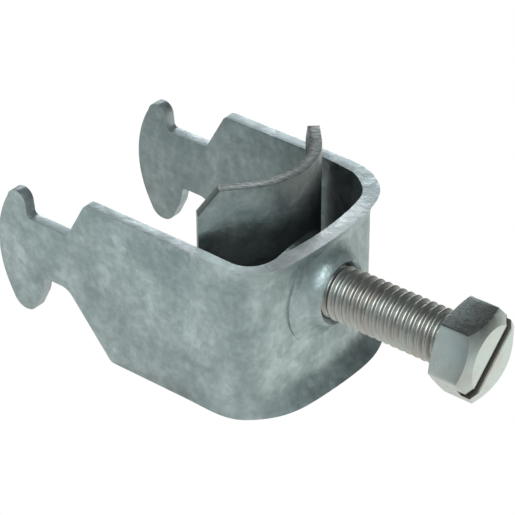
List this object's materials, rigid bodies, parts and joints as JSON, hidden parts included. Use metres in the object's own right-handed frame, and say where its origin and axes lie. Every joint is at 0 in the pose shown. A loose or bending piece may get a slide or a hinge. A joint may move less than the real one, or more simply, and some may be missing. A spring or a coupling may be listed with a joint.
{
  "type": "cable clamp",
  "caption": "C-rail cable clamp: a bent strip bow with hammer-shaped feet, a slotted hex screw through its yoke and a pressure trough that presses a round cable.",
  "frame": {"origin": "on the middle plane of both legs and of the strip's width, in the plane where the lower shoulders meet the rail's lips", "axes": "+X along the screw from the rail to the screw head, +Y across the two legs, +Z along the cable"},
  "size_m": [0.0745, 0.0327, 0.034],
  "materials": {
    "strip": "hot-dip galvanised, dull spangle",
    "screw": "bright zinc plate",
    "trough": "galvanised, bare cut edges"
  },
  "bodies": {
    "bow": {"clamp_bow": "strip"},
    "trough": {"pressure_trough": "trough"},
    "screw": {"clamp_screw": "screw"}
  },
  "joints": [
    {"name": "trough_slide", "type": "slide", "parent": "bow", "child": "trough", "axis": [1, 0, 0], "range_m": [-0.0186, 0.0011]},
    {"name": "screw_turn", "type": "hinge", "parent": "trough", "child": "screw", "pos_m": [0.03, 0, 0.003], "axis": [1, 0, 0], "range_deg": [-5328, 288]}
  ],
  "couplings": [
    {"joint": "trough_slide", "follows": "screw_turn", "m_per_rad": 0.00019894}
  ]
}
